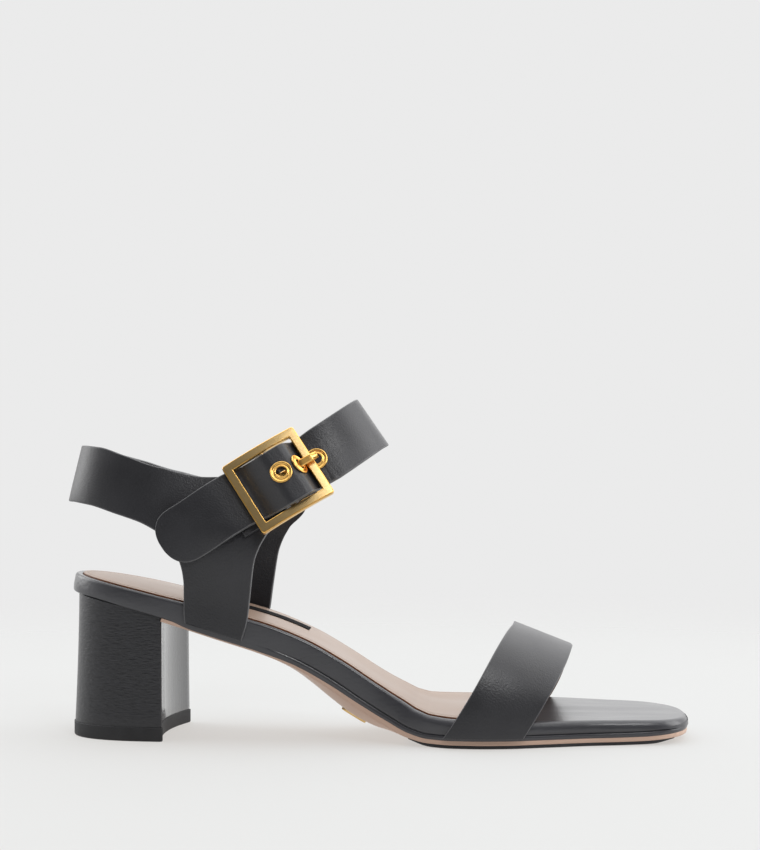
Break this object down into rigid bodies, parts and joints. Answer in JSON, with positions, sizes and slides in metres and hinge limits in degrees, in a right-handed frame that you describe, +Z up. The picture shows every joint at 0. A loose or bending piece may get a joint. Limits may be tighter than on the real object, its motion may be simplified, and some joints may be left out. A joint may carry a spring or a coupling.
{
  "type": "heeled sandal",
  "caption": "Open-toe sandal for the right foot with a block heel, a wide toe band, a closed back strap and an ankle strap held by a square prong buckle.",
  "frame": {"origin": "centre of the shoe's box, on the floor that the sole stands on", "axes": "+X from the heel to the toe, +Y to the inner side of the foot, +Z up"},
  "size_m": [0.2355, 0.0848, 0.127],
  "materials": {
    "black_leather": "smooth black calf, semi-gloss",
    "heel_leather": "black leather with a fine grain across the block",
    "sock_leather": "matt beige sock lining",
    "tan_sole": "smooth tan sole, satin",
    "black_rubber": "matt black rubber",
    "gold_metal": "polished gold plate"
  },
  "bodies": {
    "root": {"footbed": "black_leather", "insole": "sock_leather", "outsole": "tan_sole", "forefoot_tread": "black_rubber", "heel": "heel_leather", "heel_tip": "black_rubber", "toe_strap": "black_leather", "quarter": "black_leather", "ankle_strap": "black_leather", "buckle_loop": "black_leather", "buckle_frame": "gold_metal", "buckle_prong": "gold_metal", "eyelet_1": "gold_metal", "eyelet_2": "gold_metal", "eyelet_3": "gold_metal", "sole_plate": "gold_metal"}
  },
  "joints": []
}
